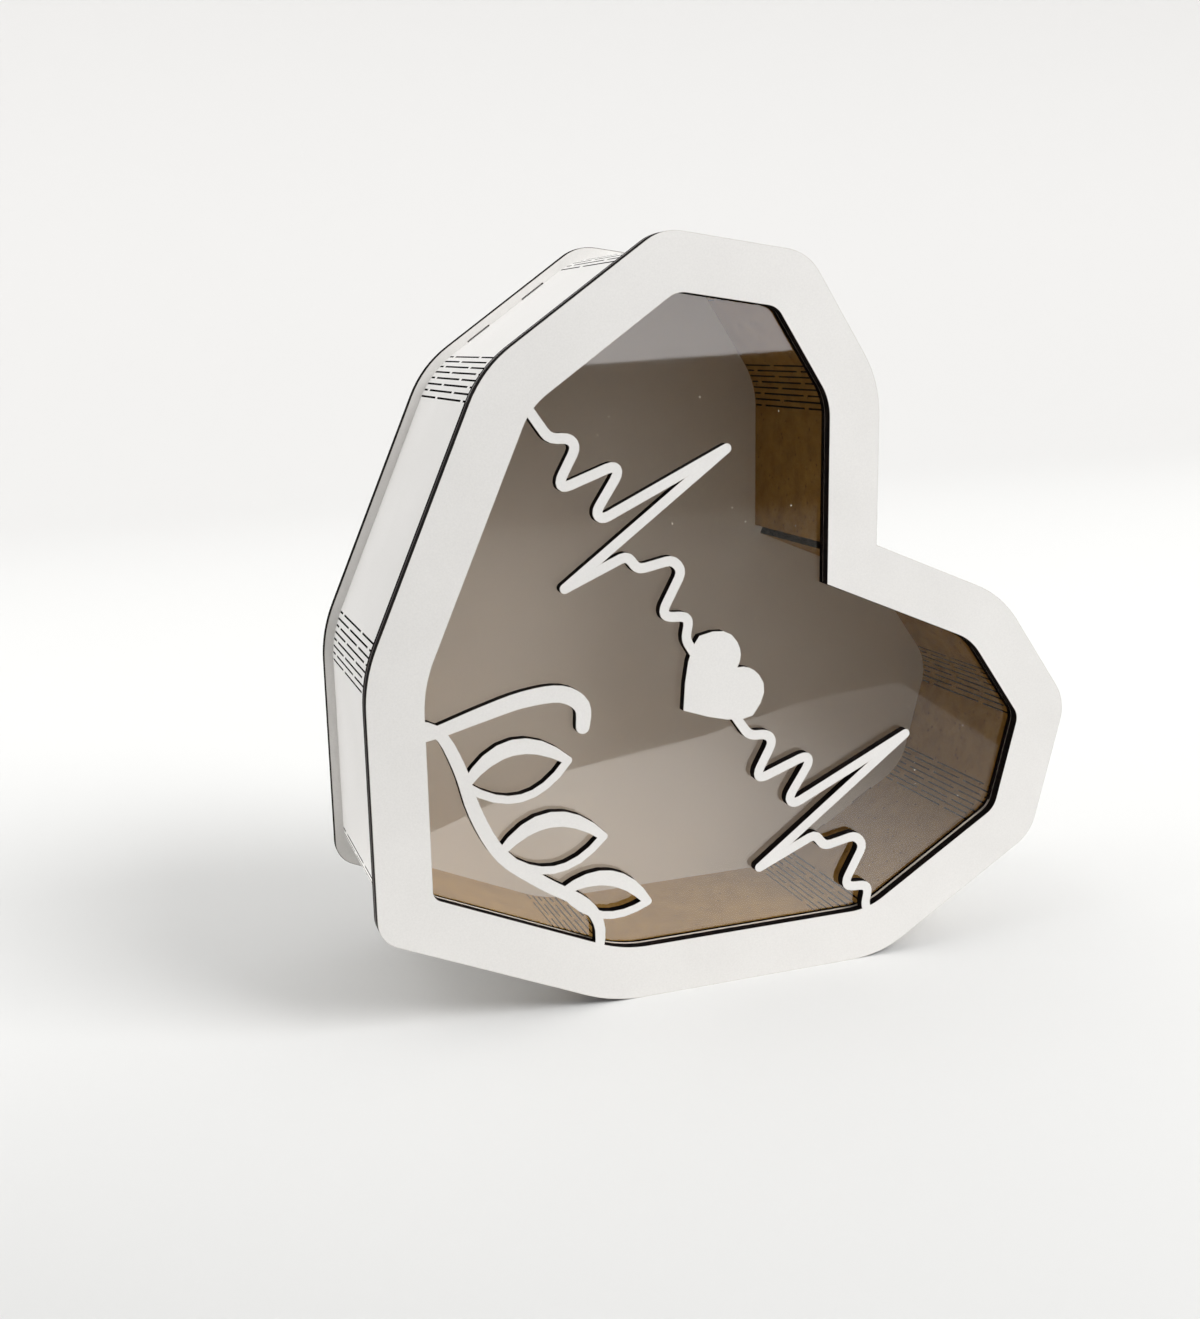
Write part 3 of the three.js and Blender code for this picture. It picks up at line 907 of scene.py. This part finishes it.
@dataclass
class PaneDust:
    """Specks of settled dust on the pane's front, within the window."""

    plan: HeartPlan
    finishes: Finishes
    count: int = 46
    seed: int = 7
    smallest_mm: float = 0.1
    largest_mm: float = 0.26
    longest: float = 2.0
    thick_mm: float = 0.04
    lift_mm: float = 0.03
    border_mm: float = 24.0
    across_mm: tuple[float, float] = (-95, 95)
    up_mm: tuple[float, float] = (20, 200)

    def build(self) -> bpy.types.Object:
        """Scatters flattened specks over the window, clear of its border."""
        draw = random.Random(self.seed)
        window = self.plan.inset(self.border_mm)
        depth = self.plan.depths()["window_pane"][0] - self.plan.gap_mm / 2
        bm = bmesh.new()
        placed = 0
        while placed < self.count:
            spot = Vector((draw.uniform(*self.across_mm), draw.uniform(*self.up_mm)))
            size = draw.uniform(self.smallest_mm, self.largest_mm)
            if not self.inside(spot, window):
                continue
            turn = Matrix.Rotation(draw.uniform(0, math.pi), 4, "Y")
            length = size * draw.uniform(1.0, self.longest)
            flat = Matrix.Diagonal((length * MM, self.thick_mm * MM, size * MM, 1.0))
            where = Matrix.Translation(self.plan.place(spot, depth - self.lift_mm))
            bmesh.ops.create_icosphere(bm, subdivisions=1, radius=1.0, matrix=where @ turn @ flat)
            placed += 1
        return keep_piece(bm, "pane_dust", [self.finishes.dust], None)

    @staticmethod
    def inside(spot: Vector, outline: list[Vector]) -> bool:
        """Tells whether a point lies within a closed outline.

        Args:
            spot: The point.
            outline: Corner points in order.

        Returns:
            Whether it does.
        """
        within = False
        for a, b in zip(outline, [*outline[1:], outline[0]]):
            if (a.y > spot.y) != (b.y > spot.y):
                if spot.x < a.x + (spot.y - a.y) / (b.y - a.y) * (b.x - a.x):
                    within = not within
        return within


@dataclass(frozen=True)
class Studio:
    """Floor, soft light, reflection cards and the camera.

    A lamp is a name, a strength, its spread in degrees and the direction that it comes from.
    The top edge of the dim room is given by its heights at two places across.
    """

    camera_place: tuple[float, float, float] = (-0.18351771, -0.45756182, 0.20561666)
    camera_right: tuple[float, float, float] = (0.94641933, -0.32114638, -0.03399197)
    camera_up: tuple[float, float, float] = (0.09981557, 0.19079397, 0.97654213)
    camera_ahead: tuple[float, float, float] = (0.30712751, 0.92761127, -0.2126265)
    focal_px: float = 1507.809
    image_height_px: float = 1319.0
    sensor_mm: float = 36.0
    clip: tuple[float, float] = (0.01, 100.0)
    floor_half: float = 6.0
    sweep_start: float = 1.4
    sweep_radius: float = 1.4
    sweep_steps: int = 24
    sweep_top: float = 5.0
    sky: str = "#f5f5f4"
    sky_strength: float = 0.94
    lamps: tuple[tuple[str, float, float, tuple[float, float, float]], ...] = (
        ("soft_key", 2.02, 32.0, (0.6, -0.55, 0.64)),
        ("soft_fill", 0.85, 70.0, (-0.75, 0.1, 0.65)),
    )
    table_glow: tuple[tuple[float, float], ...] = (
        (-0.6, 0.1), (-0.3, -0.06), (-0.062, -0.224), (0.016, -0.287), (0.101, -0.317),
        (0.18, -0.361), (0.253, -0.379), (0.227, -0.235), (0.5, -0.1), (0.5, 0.1),
    )
    card_level: float = -0.001
    room_y: float = -1.2
    room_half_x: float = 2.6
    room_low: float = -0.8
    room_edge: tuple[float, float] = (0.171, 0.177)
    room_edge_x: tuple[float, float] = (0.35, 0.58)
    wall_top: float = 1.4
    light_paths: tuple[str, ...] = (
        "camera", "diffuse", "glossy", "transmission", "volume_scatter", "shadow",
    )
    flag: tuple[tuple[float, float, float], ...] = (
        (-0.46, -0.1, 0.0), (-0.05, -0.672, 0.0), (-0.05, -0.672, 0.46), (-0.46, -0.1, 0.46),
    )

    def camera(self) -> None:
        """Puts the camera where the photograph was taken from."""
        data = bpy.data.cameras.new("camera")
        data.sensor_width = self.sensor_mm
        data.lens = self.sensor_mm * self.focal_px / self.image_height_px
        data.clip_start, data.clip_end = self.clip
        item = bpy.data.objects.new("camera", data)
        bpy.context.scene.collection.objects.link(item)
        back = -Vector(self.camera_ahead)
        turn = Matrix((self.camera_right, self.camera_up, back)).transposed().to_4x4()
        item.matrix_world = Matrix.Translation(self.camera_place) @ turn
        bpy.context.scene.camera = item

    def floor(self) -> None:
        """Lays the pale floor and sweeps it up behind; mirrors see the table card instead."""
        line = [(-self.floor_half, 0.0)]
        for k in range(self.sweep_steps + 1):
            angle = math.pi / 2 * k / self.sweep_steps
            line.append((self.sweep_start + self.sweep_radius * math.sin(angle),
                         self.sweep_radius * (1 - math.cos(angle))))
        line.append((self.sweep_start + self.sweep_radius, self.sweep_top))
        bm = bmesh.new()
        ends = (-self.floor_half, self.floor_half)
        rails = [[bm.verts.new((x, y, z)) for y, z in line] for x in ends]
        for k in range(len(line) - 1):
            face = bm.faces.new((rails[0][k], rails[1][k], rails[1][k + 1], rails[0][k + 1]))
            face.smooth = True
        item = self.staged(bm, "floor", PaperWithPaintedShade().make())
        item.visible_glossy = False

    def staged(
        self, bm: bmesh.types.BMesh, name: str, material: bpy.types.Material
    ) -> bpy.types.Object:
        """Keeps a mesh as part of the stage.

        Args:
            bm: The mesh; it is freed.
            name: Name of the object.
            material: Its finish.

        Returns:
            The new object.
        """
        mesh = bpy.data.meshes.new(name)
        bm.to_mesh(mesh)
        bm.free()
        mesh.materials.append(material)
        item = bpy.data.objects.new(name, mesh)
        bpy.context.scene.collection.objects.link(item)
        return item

    def card(
        self,
        name: str,
        corners: list[tuple[float, float, float]],
        finish: Glow,
        seen_by: set[str],
    ) -> None:
        """Hangs a flat card that the camera doesn't see.

        Args:
            name: Name of the card.
            corners: Its corners in order.
            finish: How it glows.
            seen_by: Kinds of light path that meet it.
        """
        bm = bmesh.new()
        bm.faces.new([bm.verts.new(corner) for corner in corners])
        item = self.staged(bm, name, finish.make())
        for kind in self.light_paths:
            if kind not in seen_by:
                setattr(item, f"visible_{kind}", False)

    def cards(self) -> None:
        """Hangs the reflections of table, dim room and bright wall, and a flag on the left."""
        self.card("table_card", [(x, y, self.card_level) for x, y in self.table_glow],
                  Glow("table_reflection", "#f0ece8", 4.4, 0.22, (0.06, 0.2)), {"glossy"})
        (low, high), (first, last) = self.room_edge, self.room_edge_x
        rise = (high - low) / (last - first)
        x, y = self.room_half_x, self.room_y
        left = (-x, y, low + (-x - first) * rise)
        right = (x, y, low + (x - first) * rise)
        self.card("room_card", [(-x, y, self.room_low), (x, y, self.room_low), right, left],
                  Glow("dim_room", "#6f6a66", 0.12), {"glossy", "diffuse", "transmission"})
        self.card("wall_card", [left, right, (x, y, self.wall_top), (-x, y, self.wall_top)],
                  Glow("bright_wall", "#eeeef2", 5.8), {"glossy"})
        self.card("flag_card", list(self.flag),
                  Glow("dark_flag", "#3b3835", 0.2), {"diffuse", "shadow"})

    def lights(self) -> None:
        """Lights the scene: an even pale sky, a soft key to the upper right and a soft fill."""
        world = bpy.data.worlds.new("studio")
        world.use_nodes = True
        world.node_tree.nodes["Background"].inputs["Color"].default_value = linear(self.sky)
        world.node_tree.nodes["Background"].inputs["Strength"].default_value = self.sky_strength
        bpy.context.scene.world = world
        bpy.context.scene.view_settings.view_transform = "Standard"
        for name, strength, spread, source in self.lamps:
            data = bpy.data.lights.new(name, "SUN")
            data.energy = strength
            data.angle = math.radians(spread)
            item = bpy.data.objects.new(name, data)
            bpy.context.scene.collection.objects.link(item)
            item.rotation_euler = (-Vector(source)).to_track_quat("-Z", "Y").to_euler()
            item.visible_glossy = False

    def build(self) -> None:
        """Sets up the whole stage."""
        self.camera()
        self.floor()
        self.cards()
        self.lights()


def main() -> None:
    """Builds the box and its stage."""
    logging.basicConfig(level=logging.INFO)
    plan = HeartPlan()
    finishes = Finishes.mixed()
    Studio().build()
    BoardStack(plan, finishes).build()
    BentWall(plan, finishes).build()
    PaneDust(plan, finishes).build()


if __name__ == "__main__":
    main()
